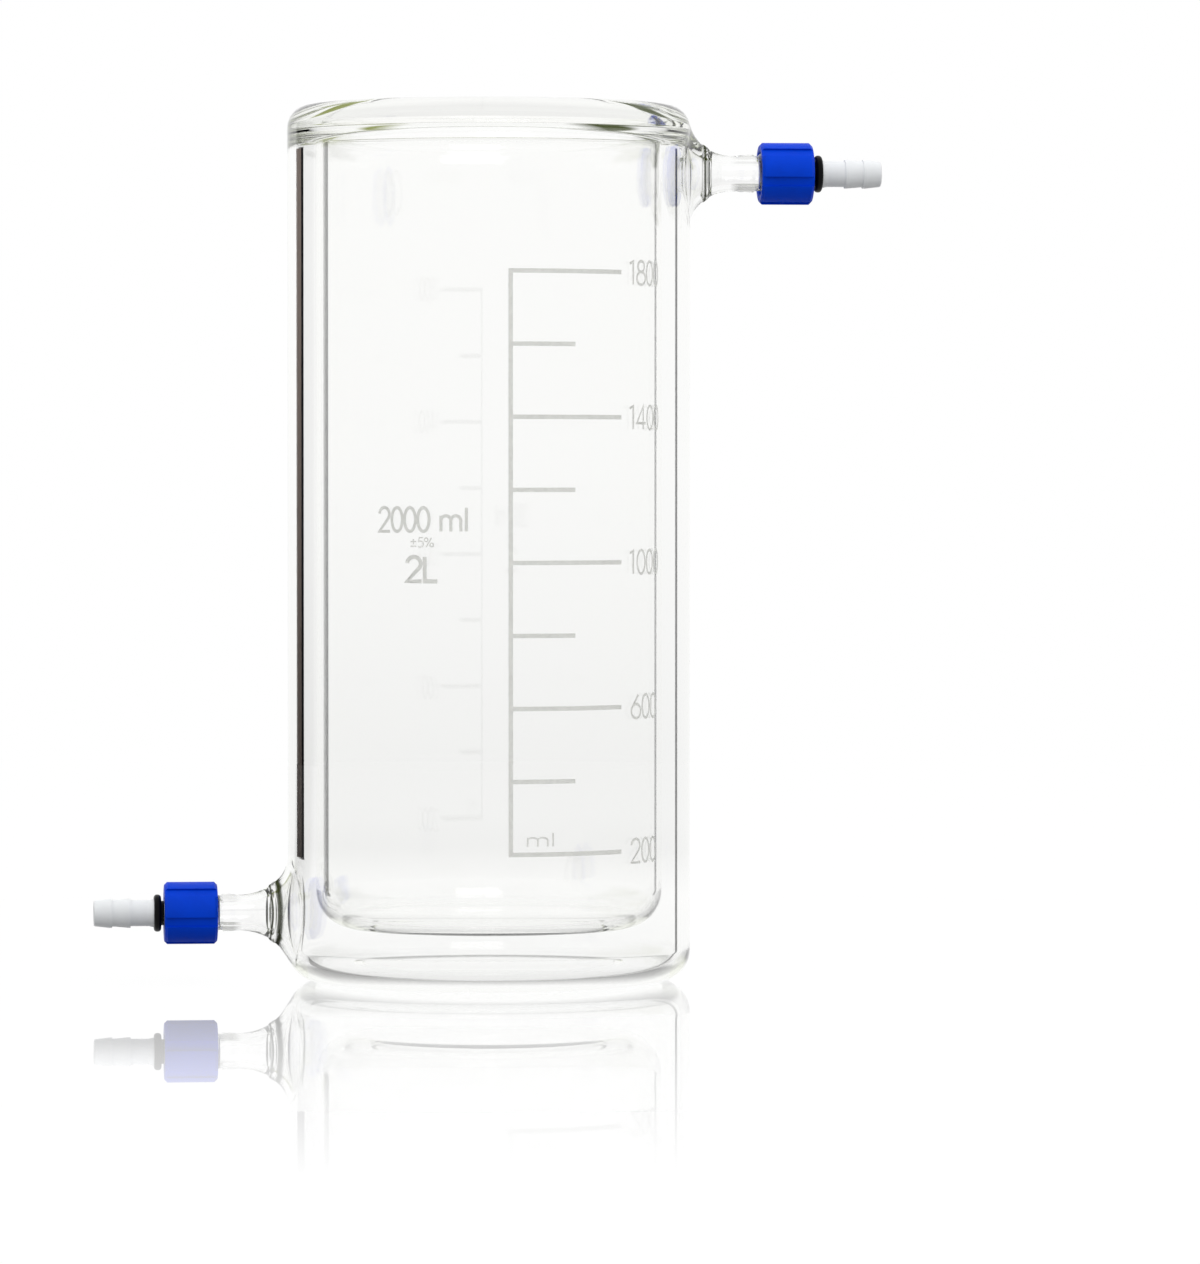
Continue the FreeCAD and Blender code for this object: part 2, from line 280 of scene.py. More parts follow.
def inner_profile():
    """Round the water space: from the middle of the jacket's base, up its wall and down the vessel."""
    wall_c, leave, point_c, land, vessel_c = crown()
    corner_r = JACKET_BORE_R - BASE_CORNER_INSIDE
    corner_z = JACKET_BASE + BASE_CORNER_INSIDE
    vessel_corner_r = VESSEL_R - VESSEL_CORNER_OUTSIDE
    vessel_corner_z = VESSEL_UNDERSIDE + VESSEL_CORNER_OUTSIDE
    lower_end = corner_z + LOWER_HOLE_INSIDE[0]
    upper_start = wall_c[1] - UPPER_HOLE_INSIDE[0]
    return stations([
        straight((0, JACKET_BASE), (corner_r, JACKET_BASE), 10),
        bend((corner_r, corner_z), BASE_CORNER_INSIDE, -90, 0),
        straight((JACKET_BORE_R, corner_z), (JACKET_BORE_R, lower_end), LOWER_HOLE_INSIDE[1]),
        straight((JACKET_BORE_R, lower_end), (JACKET_BORE_R, upper_start), 8),
        straight((JACKET_BORE_R, upper_start), (JACKET_BORE_R, wall_c[1]), UPPER_HOLE_INSIDE[1]),
        bend(wall_c, CROWN_BEND, 0, UPPER_HOLE_INSIDE[2]),
        bend(wall_c, CROWN_BEND, UPPER_HOLE_INSIDE[2], leave, 3),
        bend(point_c, CROWN_ROUND, leave, land, 12),
        bend(vessel_c, CROWN_BEND, land, 180),
        straight((VESSEL_R, vessel_c[1]), (VESSEL_R, vessel_corner_z), 10),
        bend((vessel_corner_r, vessel_corner_z), VESSEL_CORNER_OUTSIDE, 0, -90),
        straight((vessel_corner_r, VESSEL_UNDERSIDE), (0, VESSEL_UNDERSIDE), 8),
        [(0, VESSEL_UNDERSIDE, -1, 0)],
    ], -1)


class Skin:
    """Vertices, normals and faces of a glass surface while it is built, in millimetres."""

    def __init__(self):
        self.places = []
        self.normals = []
        self.faces = []
        self.painted_bore_line_mask = []
        self.weld = []

    def point(self, place, normal=None, painted_bore_line_mask=0.0, weld=0.0):
        """A vertex. Its first mask marks where dark lines are painted as shade inside a bore: 1 on the
        jacket's bore, 0.5 on the vessel's. Its second is the share of a dark line painted as shade at a weld
        or along an arm's bore.
        """
        self.places.append(place)
        self.normals.append(normal)
        self.painted_bore_line_mask.append(painted_bore_line_mask)
        self.weld.append(weld)
        return len(self.places) - 1

    def band(self, first, second):
        """Faces between two closed rings of the same length."""
        for k in range(len(first)):
            n = (k + 1) % len(first)
            self.faces.append((first[k], first[n], second[n], second[k]))


def turn_profile(skin, profile, patches, painted_bore_line_mask_at):
    """Turns a profile about Z and leaves a rectangular hole for each patch (side, first row, last row).

    Returns the closed ring of each hole, counter-clockwise as seen from outside.
    """
    grid = {}
    hidden = set()
    for side, first, last in patches:
        centre = 0 if side > 0 else COLUMNS // 2
        for row in range(first, last):
            for column in range(centre - ARM_COLUMNS, centre + ARM_COLUMNS):
                hidden.add((row, column % COLUMNS))

    def vertex(row, column):
        r, z, normal_r, normal_z = profile[row]
        column %= COLUMNS
        if r == 0:
            column = 0
        if (row, column) not in grid:
            turn = 2 * math.pi * column / COLUMNS
            cos, sin = math.cos(turn), math.sin(turn)
            normal = (normal_r * cos, normal_r * sin, normal_z)
            grid[row, column] = skin.point((r * cos, r * sin, z), normal, painted_bore_line_mask_at(r, z))
        return grid[row, column]

    for row in range(len(profile) - 1):
        for column in range(COLUMNS):
            if (row, column) in hidden:
                continue
            corners = (vertex(row, column), vertex(row, column + 1),
                       vertex(row + 1, column + 1), vertex(row + 1, column))
            skin.faces.append(tuple(dict.fromkeys(corners)))

    rings = []
    for side, first, last in patches:
        centre = 0 if side > 0 else COLUMNS // 2
        left, right = centre - ARM_COLUMNS, centre + ARM_COLUMNS
        loop = [(first, column) for column in range(left, right)]
        loop += [(row, right) for row in range(first, last)]
        loop += [(last, column) for column in range(right, left, -1)]
        loop += [(row, left) for row in range(last, first, -1)]
        rings.append([vertex(row, column) for row, column in loop])
    return rings


def wall_radius(profile, z):
    """Radius and normal of a profile's wall at a height, from its exact stations."""
    heights = [station[1] for station in profile]
    return [np.interp(z, heights, [station[k] for station in profile]) for k in (0, 2, 3)]


def flare_at(root, psi):
    """Reach of a trumpet root round the arm: the first value beside and below it, the second above."""
    share = max(0.0, math.sin(psi)) ** 2
    return root[1] * (1 - share) + root[2] * share


def weld(out):
    """Height of the weld bead at a distance out from the jacket's wall, as a share of its full height."""
    return math.exp(-((out - WELD_OUT) / WELD_HALF_WIDTH) ** 4)


def painted_weld_line(out, painted_lines):
    """How much a place lies on the dark lines painted as shade at a weld, each given by its distance out and
    half width.
    """
    return max(math.exp(-((out - at) / half_width) ** 4) for at, half_width in painted_lines)


def painted_arm_bore_line(psi):
    """How much an angle round an arm's bore lies on the dark lines painted as shade along its lowest and
    highest sides.
    """
    if math.sin(psi) < -0.88:
        return PAINTED_BORE_LINE_BELOW
    return PAINTED_BORE_LINE_ABOVE if math.sin(psi) > 0.9 else 0.0


def blow_arm(skin, ring, wall, side, arm_z, radius, root, painted_lines):
    """Carries a hole's ring over the wall, through the trumpet root and onto the tube.

    Returns the last ring and its angles. The dark lines painted as shade at the weld belong to the outside; a
    bore has none.
    """
    loop = [skin.places[k] for k in ring]
    angles = [math.atan2(z - arm_z, side * y) for _, y, z in loop]
    wall_r = JACKET_R if painted_lines else JACKET_BORE_R
    bead_height = WELD_RISE if painted_lines else -WELD_DIP_INSIDE

    def place(across, height, rise):
        r = wall_radius(wall, height)[0]
        return (side * (math.sqrt(r * r - across * across) + rise), side * across, height)

    rings = [ring]
    for step in range(1, ROOT_STEPS + 1):
        share = step / ROOT_STEPS
        made = []
        for (_, y, z), psi in zip(loop, angles):
            reach = radius + flare_at(root, psi)
            across = side * y * (1 - share) + reach * math.cos(psi) * share
            height = z * (1 - share) + (arm_z + reach * math.sin(psi)) * share
            spot = place(across, height, 0)
            r, normal_r, normal_z = wall_radius(wall, height)
            made.append(skin.point(spot, (normal_r * spot[0] / r, normal_r * spot[1] / r, normal_z)))
        rings.append(made)

    length = root[0]
    rises = [length * (1 - math.sin(math.radians(turn))) for turn in range(0, 90, ROOT_BEND_STEP)]
    bead = WELD_OUT + JACKET_R - wall_r
    rises += [bead + WELD_ROW * k for k in range(-WELD_ROWS_BEFORE, WELD_ROWS_AFTER + 1)]
    for rise in sorted(rises):
        lean = math.sqrt(1 - (1 - rise / length) ** 2)
        out = wall_r + rise - JACKET_R
        made = []
        for psi in angles:
            reach = radius + flare_at(root, psi) * (1 - lean) + bead_height * weld(out)
            spot = place(reach * math.cos(psi), arm_z + reach * math.sin(psi), rise)
            made.append(skin.point(spot, weld=painted_weld_line(out, painted_lines) if painted_lines else 0.0))
        rings.append(made)
    for first, second in zip(rings, rings[1:]):
        skin.band(first, second)
    return rings[-1], angles


def tube(skin, ring, angles, side, arm_z, profile, painted_line_at=None):
    """Continues an arm from its root along stations of distance and radius.

    A radius may be a function of the angle round the arm, and so may the share of a dark line painted as
    shade.
    """
    for distance, radius in profile:
        made = []
        for psi in angles:
            r = radius(psi) if callable(radius) else radius
            made.append(skin.point((side * distance, side * r * math.cos(psi), arm_z + r * math.sin(psi)),
                                   weld=painted_line_at(psi) if painted_line_at else 0.0))
        skin.band(ring, made)
        ring = made
    return ring


def thread_radius(distance):
    """Radius of the screw thread at a distance, as a function of the angle round the arm."""
    first, last = THREAD_START, GLASS_END - THREAD_ENDS_BEFORE
    fade = min(1.0, max(0.0, min(distance - first, last - distance) / THREAD_FADE))

    def at(psi):
        phase = (distance / THREAD_PITCH - psi / (2 * math.pi)) % 1.0
        ridge = 0.5 - 0.5 * math.cos(2 * math.pi * phase)
        return THREAD_ROOT_R + (THREAD_CREST_R - THREAD_ROOT_R) * fade * ridge ** THREAD_SHARPNESS
    return at


def polished_edge(radius, side):
    """Stations of the round edge at an arm's end, on its outside (side 1) or in its bore (side -1)."""
    made = []
    for turn in range(0, 91, 15):
        lean = math.radians(turn)
        distance = GLASS_END - END_ROUND * (1 - math.sin(lean))
        made.append((distance, radius - side * END_ROUND * (1 - math.cos(lean))))
    return made


def eased(first, last, start, end, steps):
    """Stations of a smooth change of radius between two distances."""
    made = []
    for k in range(1, steps + 1):
        share = k / steps
        smooth = share * share * (3 - 2 * share)
        made.append((first + (last - first) * share, start + (end - start) * smooth))
    return made


def arm_end(skin, outer, inner, angles_out, angles_in, side, arm_z, root_end):
    """Tube, collar, thread and fire-polished end of an arm, joined to its bore."""
    profile = eased(root_end, COLLAR_ENDS[0], ARM_R, COLLAR_R, 10)
    profile += eased(COLLAR_ENDS[0], COLLAR_ENDS[1], COLLAR_R, COLLAR_R, 3)
    profile += eased(COLLAR_ENDS[1], THREAD_START, COLLAR_R, THREAD_ROOT_R, 7)
    last = GLASS_END - THREAD_ENDS_BEFORE
    rows = round((last - THREAD_START) / THREAD_ROW)
    for k in range(1, rows + 1):
        distance = THREAD_START + (last - THREAD_START) * k / rows
        profile.append((distance, thread_radius(distance)))
    profile += polished_edge(THREAD_ROOT_R, 1)
    outer = tube(skin, outer, angles_out, side, arm_z, profile)

    bore = [(root_end + 2, ARM_BORE_R), (COLLAR_ENDS[1], ARM_BORE_R), (GLASS_END - 6, ARM_BORE_R)]
    bore += polished_edge(ARM_BORE_R, -1)
    inner = tube(skin, inner, angles_in, side, arm_z, bore, painted_arm_bore_line)
    skin.band(outer, inner)


def rows_between(profile, first_z, last_z):
    """Numbers of the wall stations nearest to two heights, counted up the first rise of a profile."""
    top = max(range(len(profile)), key=lambda k: profile[k][1])
    rising = range(top)
    first = min(rising, key=lambda k: (round(abs(profile[k][1] - first_z), 6), -profile[k][0]))
    last = min(rising, key=lambda k: (round(abs(profile[k][1] - last_z), 6), -profile[k][0]))
    return first, last


def hole_span(side, bend_z, bend_r, hole):
    """Side, lowest and highest point of an arm's hole, which starts in straight wall and ends in a bend."""
    length, _, turn = hole
    into_bend = bend_r * math.sin(math.radians(turn))
    if side > 0:
        return side, bend_z - length, bend_z + into_bend
    return side, bend_z - into_bend, bend_z + length


def glass_body():
    """The whole glass body as one closed mesh."""
    outer, inner = outer_profile(), inner_profile()
    wall_c = crown()[0]
    shoulder = JACKET_R - SEAM_R
    outer_patches = [
        hole_span(1, HEIGHT - shoulder, shoulder, UPPER_HOLE),
        hole_span(-1, BASE_CORNER, BASE_CORNER, LOWER_HOLE)]
    inner_patches = [
        hole_span(1, wall_c[1], CROWN_BEND, UPPER_HOLE_INSIDE),
        hole_span(-1, JACKET_BASE + BASE_CORNER_INSIDE, BASE_CORNER_INSIDE, LOWER_HOLE_INSIDE)]

    def rows(profile, patches):
        return [(side, *rows_between(profile, first, last)) for side, first, last in patches]

    # Masks of the dark lines painted as shade inside the vessel's bore and the jacket's bore
    def vessel_bore(r, z):
        on_wall = VESSEL_FLOOR + VESSEL_LINE_FROM < z < HEIGHT - MOUTH_DEPTH
        return 0.5 if r < BORE_R + 0.1 and on_wall else 0.0

    def jacket_bore(r, z):
        return 1.0 if r > SEAM_R + 1 and JACKET_BASE + JACKET_LINE_FROM < z < wall_c[1] else 0.0

    skin = Skin()
    outer_rows, inner_rows = rows(outer, outer_patches), rows(inner, inner_patches)
    outer_rings = turn_profile(skin, outer, outer_rows, vessel_bore)
    inner_rings = turn_profile(skin, inner, inner_rows, jacket_bore)
    arms = ((1, UPPER_ARM_Z, UPPER_ROOT, UPPER_ROOT_BORE, UPPER_PAINTED_WELD_LINES),
            (-1, LOWER_ARM_Z, LOWER_ROOT, LOWER_ROOT_BORE, LOWER_PAINTED_WELD_LINES))
    for k, (side, arm_z, root, root_bore, painted_lines) in enumerate(arms):
        outer_wall = outer[outer_rows[k][1] - 2:outer_rows[k][2] + 3]
        inner_wall = inner[inner_rows[k][1] - 2:inner_rows[k][2] + 3]
        tip_out, angles_out = blow_arm(skin, outer_rings[k], outer_wall, side, arm_z, ARM_R, root, painted_lines)
        tip_in, angles_in = blow_arm(skin, inner_rings[k], inner_wall, side, arm_z, ARM_BORE_R,
                                     root_bore, ())
        arm_end(skin, tip_out, tip_in, angles_out, angles_in, side, arm_z, JACKET_R + root[0])

    mesh = bpy.data.meshes.new("glass_body")
    mesh.from_pydata([tuple(c * MM for c in place) for place in skin.places], [], skin.faces)
    work = bmesh.new()
    work.from_mesh(mesh)
    bmesh.ops.recalc_face_normals(work, faces=work.faces)
    if work.calc_volume(signed=True) < 0:
        bmesh.ops.reverse_faces(work, faces=work.faces)
    print("glass body open edges:", sum(1 for edge in work.edges if len(edge.link_faces) != 2),
          "volume cm3:", round(work.calc_volume() * 1e6, 1), "faces:", len(work.faces))
    work.to_mesh(mesh)
    work.free()
    mesh.shade_smooth()
    smooth = [tuple(n.vector) for n in mesh.vertex_normals]
    mesh.normals_split_custom_set_from_vertices([exact or own for exact, own in zip(skin.normals, smooth)])
    for name, values in (("painted_bore_line_mask", skin.painted_bore_line_mask), ("weld", skin.weld)):
        mesh.attributes.new(name, "FLOAT", "POINT").data.foreach_set("value", values)
    piece = bpy.data.objects.new("glass_body", mesh)
    bpy.context.scene.collection.objects.link(piece)
    return piece


def bow(centre_x, centre_y, wide, tall, first, last):
    """Points of a round stroke of a sign, between two angles in degrees."""
    steps = max(6, round(abs(last - first) / 12))
    points = []
    for k in range(steps + 1):
        turn = math.radians(first + (last - first) * k / steps)
        points.append((centre_x + wide * math.cos(turn), centre_y + tall * math.sin(turn)))
    return points


# Strokes of each sign in a box of height 1, after its width
SIGNS = {
    "0": (0.58, [bow(0.29, 0.5, 0.24, 0.5, 0, 360)]),
    "1": (0.44, [[(0.08, 0.88), (0.27, 0.97), (0.27, 0.0)]]),
    "2": (0.60, [bow(0.29, 0.72, 0.24, 0.28, 175, -38) + [(0.05, 0.0), (0.56, 0.0)]]),
    "4": (0.62, [[(0.42, 0.0), (0.42, 0.98), (0.03, 0.26), (0.58, 0.26)]]),
    "5": (0.58, [[(0.5, 1.0), (0.17, 1.0), (0.11, 0.58)] + bow(0.25, 0.32, 0.28, 0.32, 115, -130)]),
    "6": (0.62, [bow(0.31, 0.3, 0.26, 0.3, 0, 360), [(0.43, 1.0), (0.09, 0.44)]]),
    "8": (0.58, [bow(0.29, 0.27, 0.26, 0.27, 0, 360), bow(0.29, 0.77, 0.2, 0.23, 0, 360)]),
    "L": (0.52, [[(0.07, 1.0), (0.07, 0.0), (0.5, 0.0)]]),
    "m": (0.98, [[(0.08, 0.0), (0.08, 0.66)], bow(0.28, 0.44, 0.2, 0.22, 180, 0) + [(0.48, 0.0)],
                 bow(0.68, 0.44, 0.2, 0.22, 180, 0) + [(0.88, 0.0)]]),
    "l": (0.26, [[(0.12, 0.0), (0.12, 1.0)]]),
    "%": (0.86, [[(0.2, 0.0), (0.66, 1.0)], bow(0.19, 0.78, 0.15, 0.2, 0, 360),
                 bow(0.67, 0.22, 0.15, 0.2, 0, 360)]),
    "+": (0.70, [[(0.08, 0.58), (0.6, 0.58)], [(0.34, 0.86), (0.34, 0.3)], [(0.08, 0.08), (0.6, 0.08)]]),
    " ": (0.36, []),
}


def lettering(text, left, middle, height, spread=1.0):
    """Strokes of a line of signs on the unrolled vessel, from its left end, centred on a height."""
    strokes = []
    for sign in text:
        width, shapes = SIGNS[sign]
        for shape in shapes:
            strokes.append([(left + x * height * spread, middle + (y - 0.5) * height) for x, y in shape])
        left += width * height * spread
    return strokes


def lettering_width(text, height, spread=1.0):
    """Length of a line of signs."""
    return sum(SIGNS[sign][0] for sign in text) * height * spread


def ribbon(skin, stroke, width):
    """A thin raised enamel stroke that follows the vessel's outside."""
    closed = math.dist(stroke[0], stroke[-1]) < 1e-6
    points = stroke[:-1] if closed else stroke
    count = len(points)
    rings = []
    for k, (x, y) in enumerate(points):
        before = points[k - 1] if closed or k > 0 else None
        after = points[(k + 1) % count] if closed or k < count - 1 else None
        ways = []
        for start, end in ((before, (x, y)), ((x, y), after)):
            if start is not None and end is not None:
                size = math.dist(start, end)
                ways.append(((end[0] - start[0]) / size, (end[1] - start[1]) / size))
        way = (sum(w[0] for w in ways), sum(w[1] for w in ways))
        size = math.hypot(*way)
        across = (-way[1] / size, way[0] / size)
        reach = width / 2 / max(0.5, across[0] * -ways[0][1] + across[1] * ways[0][0])
        ring = []
        for sign, lift in ((1, PRINT_LIFT), (-1, PRINT_LIFT), (-1, PRINT_SINK), (1, PRINT_SINK)):
            turn = math.radians(VIEW_TURN) + (x + sign * reach * across[0]) / VESSEL_R
            r = VESSEL_R + lift
            ring.append(skin.point((r * math.cos(turn), r * math.sin(turn), y + sign * reach * across[1])))
        rings.append(ring)
    pairs = list(zip(rings, rings[1:])) + ([(rings[-1], rings[0])] if closed else [])
    for first, second in pairs:
        skin.band(first, second)
    if not closed:
        skin.faces.append(tuple(rings[0]))
        skin.faces.append(tuple(reversed(rings[-1])))


def split_line(start, end):
    """Points of a straight stroke, close enough together to follow the vessel round."""
    steps = max(1, round(abs(end[0] - start[0]) / PRINT_STEP))
    return [(start[0] + (end[0] - start[0]) * k / steps, start[1] + (end[1] - start[1]) * k / steps)
            for k in range(steps + 1)]


def arc_length(degrees):
    """Distance round the vessel's outside for a turn away from the scale's zero line."""
    return VESSEL_R * math.radians(degrees)


def enamel_print():
    """Graduations, numbers and capacity printed on the vessel's outside."""
    skin = Skin()
    line_x = arc_length(SCALE_LINE)
    lowest = SCALE_FIRST_Z
    highest = SCALE_FIRST_Z + SCALE_STEP * (SCALE_MARKS - 1)
    half = SCALE_STROKE / 2
    ribbon(skin, [(line_x, lowest - half), (line_x, highest + half)], SCALE_STROKE)
    for mark in range(SCALE_MARKS):
        z = lowest + SCALE_STEP * mark
        long = mark % 2 == 0
        end_x = arc_length(LONG_TICK_END if long else SHORT_TICK_END)
        ribbon(skin, split_line((line_x + half, z), (end_x, z)), SCALE_STROKE)
        if long:
            number = str(200 * (mark + 1))
            left = arc_length(NUMBERS_FROM) + (0.0 if len(number) == 4 else THREE_SIGNS_IN)
            for stroke in lettering(number, left, z, NUMBER_HEIGHT, NUMBER_SPREAD):
                ribbon(skin, stroke, NUMBER_STROKE)
    for stroke in lettering("ml", line_x + UNIT_FROM, lowest + UNIT_RISE, UNIT_HEIGHT, UNIT_SPREAD):
        ribbon(skin, stroke, UNIT_STROKE)
    for text, z, height, stroke_width, spread in CAPACITY_LINES:
        left = arc_length(CAPACITY_MIDDLE) - lettering_width(text, height, spread) / 2
        for stroke in lettering(text, left, z, height, spread):
            ribbon(skin, stroke, stroke_width)
    mesh = bpy.data.meshes.new("printed_scale")
    mesh.from_pydata([tuple(c * MM for c in place) for place in skin.places], [], skin.faces)
    work = bmesh.new()
    work.from_mesh(mesh)
    bmesh.ops.recalc_face_normals(work, faces=work.faces)
    work.to_mesh(mesh)
    work.free()
    piece = bpy.data.objects.new("printed_scale", mesh)
    bpy.context.scene.collection.objects.link(piece)
    return piece


class Nodes:
    """Short way to build a node tree."""

    def __init__(self, tree):
        self.tree = tree
        tree.nodes.clear()

    def add(self, kind, inputs=None, **settings):
        node = self.tree.nodes.new(kind)
        for name, value in settings.items():
            setattr(node, name, value)
        for name, value in (inputs or {}).items():
            if isinstance(value, bpy.types.NodeSocket):
                self.tree.links.new(value, node.inputs[name])
            else:
                node.inputs[name].default_value = value
        return node

    def maths(self, operation, first, second=0.0):
        node = self.add("ShaderNodeMath", {0: first, 1: second}, operation=operation)
        return node.outputs[0]

    def ramp(self, factor, stops):
        node = self.add("ShaderNodeValToRGB", {0: factor})
        elements = node.color_ramp.elements
        for k, (at, colour) in enumerate(stops):
            element = elements[k] if k < 2 else elements.new(at)
            element.position = at
            element.color = colour if len(colour) == 4 else (*colour, 1)
        return node.outputs

    def levels(self, factor, stops):
        """Value that changes with a factor, from stops of factor and value."""
        return self.ramp(factor, [(at, (value,) * 3) for at, value in stops])[0]

    def noise(self, where, scale, detail):
        node = self.add("ShaderNodeTexNoise", {"Vector": where, "Scale": scale, "Detail": detail})
        return node.outputs["Fac"]

    def blend(self, factor, first, second, kind="RGBA"):
        """Mix of two colours, or of two values with kind FLOAT."""
        node = self.add("ShaderNodeMix", data_type=kind)
        places = {"RGBA": (0, 6, 7, 2), "FLOAT": (0, 2, 3, 0)}[kind]
        for index, value in zip(places, (factor, first, second)):
            if isinstance(value, bpy.types.NodeSocket):
                self.tree.links.new(value, node.inputs[index])
            else:
                node.inputs[index].default_value = value
        return node.outputs[places[3]]


def linear(red, green, blue):
    """Linear colour of an 8-bit screen colour."""
    def one(value):
        value /= 255
        return value / 12.92 if value <= 0.04045 else ((value + 0.055) / 1.055) ** 2.4
    return one(red), one(green), one(blue)


GLASS_IOR = 1.474
GLASS_TINT = (0.85, 0.88, 0.72)
GLASS_TINT_DENSITY = 8.0

# Painted shade: dark lines just inside each bore, in a diffuse colour that stands in for the dark studio
# sides seen there by grazing rays. They lie in a span of shares of its radius from the middle.
# Each stop has its place in that span, its colour and its cover. The lines on the beaker's left side (-X) are
# wider and darker than on its right.
LINE_FROM, LINE_TO = 0.95, 1.02
BLACK = (0.008, 0.008, 0.01)
BROWN = (0.27, 0.22, 0.2)
GREY = (0.1, 0.1, 0.1)
PALE = (0.4, 0.4, 0.4)
JACKET_LEFT = [(0.20, (*BLACK, 0)), (0.23, (*BLACK, 1)), (0.37, (*BLACK, 1)), (0.40, (*BROWN, 1)),
               (0.72, (*BROWN, 1)), (0.76, (*BROWN, 0))]
VESSEL_LEFT = [(0.17, (*GREY, 0)), (0.23, (*GREY, 0.9)), (0.40, (*GREY, 0.8)), (0.57, (*PALE, 0.5)),
               (0.65, (*PALE, 0))]
JACKET_RIGHT = [(0.30, (*BLACK, 0)), (0.34, (*BLACK, 0.85)), (0.45, (*BLACK, 0.85)), (0.49, (*BLACK, 0))]
VESSEL_RIGHT = [(0.62, (*GREY, 0)), (0.66, (*GREY, 0.7)), (0.78, (*GREY, 0.7)), (0.82, (*GREY, 0))]

# Brightness of the painted lines, which makes them darker towards the bottom as painted shade, and how much
# of them shows near the base corner, by share of the height
LINE_SHADE = [(0.1, 0.25), (0.8, 1.2)]
LINE_ON_WALL = [(0.025, 0.4), (0.04, 1.0)]
# Colour and cover of the dark olive lines painted as shade at the welds and along the arms' bores; the bead
# under the weld lines is real shape
PAINTED_LINE_COLOUR = (44, 50, 16)
PAINTED_LINE_COVER = 0.92


def painted_bore_shade_lines(nodes):
    """Colour and cover of the dark lines painted as shade where a ray grazes a round bore inside the glass,
    standing in for the dark studio sides seen there.
    """
    facing = nodes.add("ShaderNodeLayerWeight", {"Blend": 0.5}).outputs["Facing"]
    cosine = nodes.maths("SUBTRACT", 1.0, facing)
    sine = nodes.maths("SQRT", nodes.maths("SUBTRACT", 1.0, nodes.maths("MULTIPLY", cosine, cosine)))
    share = nodes.maths("MULTIPLY", sine, GLASS_IOR)
    spot = nodes.maths("DIVIDE", nodes.maths("SUBTRACT", share, LINE_FROM), LINE_TO - LINE_FROM)
    geometry = nodes.add("ShaderNodeNewGeometry")
    place = nodes.add("ShaderNodeSeparateXYZ", {0: geometry.outputs["Position"]})
    # Painted shade differs by side: wider and darker lines on the beaker's left (-X) than on its right
    on_left = nodes.maths("LESS_THAN", place.outputs["X"], 0.0)
    height = nodes.maths("DIVIDE", place.outputs["Z"], HEIGHT * MM)
    # Painted shade: the lines get darker towards the bottom and fade out near the base corner
    shade = nodes.levels(height, LINE_SHADE)
    on_wall = nodes.levels(height, LINE_ON_WALL)
    painted_bore_line_mask = nodes.add("ShaderNodeAttribute", attribute_name="painted_bore_line_mask").outputs["Fac"]
    on_jacket = nodes.maths("GREATER_THAN", painted_bore_line_mask, 0.75)
    jacket_left, jacket_right = nodes.ramp(spot, JACKET_LEFT), nodes.ramp(spot, JACKET_RIGHT)
    vessel_left, vessel_right = nodes.ramp(spot, VESSEL_LEFT), nodes.ramp(spot, VESSEL_RIGHT)
    found = []
    for output, kind in ((0, "RGBA"), (1, "FLOAT")):
        jacket = nodes.blend(on_left, jacket_right[output], jacket_left[output], kind)
        vessel = nodes.blend(on_left, vessel_right[output], vessel_left[output], kind)
        found.append(nodes.blend(on_jacket, vessel, jacket, kind))
    shaded = nodes.add("ShaderNodeVectorMath", {0: found[0], 1: shade}, operation="MULTIPLY")
    cover = nodes.maths("MULTIPLY", found[1], geometry.outputs["Backfacing"])
    cover = nodes.maths("MULTIPLY", cover, on_wall)
    cover = nodes.maths("MULTIPLY", cover, nodes.maths("GREATER_THAN", painted_bore_line_mask, 0.25))
    return shaded.outputs["Vector"], cover


def glass_material():
    """Borosilicate glass, with dark lines painted as shade in its bores, at its welds and along its arms'
    bores.
    """
    material = bpy.data.materials.new("borosilicate_glass")
    material.use_nodes = True
    nodes = Nodes(material.node_tree)
    glass = nodes.add("ShaderNodeBsdfPrincipled", {
        "Base Color": (1, 1, 1, 1), "Roughness": 0.0, "IOR": GLASS_IOR, "Transmission Weight": 1.0})
    surface = glass.outputs[0]
    # Painted shade: a dark diffuse colour mixed into the glass where a ray grazes a bore
    colour, cover = painted_bore_shade_lines(nodes)
    bore_shade_shader = nodes.add("ShaderNodeBsdfDiffuse", {"Color": colour})
    surface = nodes.add("ShaderNodeMixShader", {0: cover, 1: surface, 2: bore_shade_shader.outputs[0]}).outputs[0]
    # Painted shade: dark olive lines at the welds and along the arms' bores
    painted_line_share = nodes.add("ShaderNodeAttribute", attribute_name="weld").outputs["Fac"]
    painted_line_shader = nodes.add("ShaderNodeBsdfDiffuse", {"Color": (*linear(*PAINTED_LINE_COLOUR), 1)})
    cover = nodes.maths("MULTIPLY", painted_line_share, PAINTED_LINE_COVER)
    surface = nodes.add("ShaderNodeMixShader", {0: cover, 1: surface, 2: painted_line_shader.outputs[0]}).outputs[0]
    clear = nodes.add("ShaderNodeBsdfTransparent", {"Color": (0.97, 0.98, 0.97, 1)})
    in_shadow = nodes.add("ShaderNodeLightPath").outputs["Is Shadow Ray"]
    surface = nodes.add("ShaderNodeMixShader", {0: in_shadow, 1: surface, 2: clear.outputs[0]}).outputs[0]
    tint = nodes.add("ShaderNodeVolumeAbsorption", {
        "Color": (*GLASS_TINT, 1), "Density": GLASS_TINT_DENSITY})
    nodes.add("ShaderNodeOutputMaterial", {"Surface": surface, "Volume": tint.outputs[0]})
    return material


MOTTLE_SCALE = 160.0
GRAIN_SCALE = 2600.0
GRAIN_STRENGTH = 0.12
GRAIN_DEPTH = 0.00004
GLOSS_SPREAD = 0.15


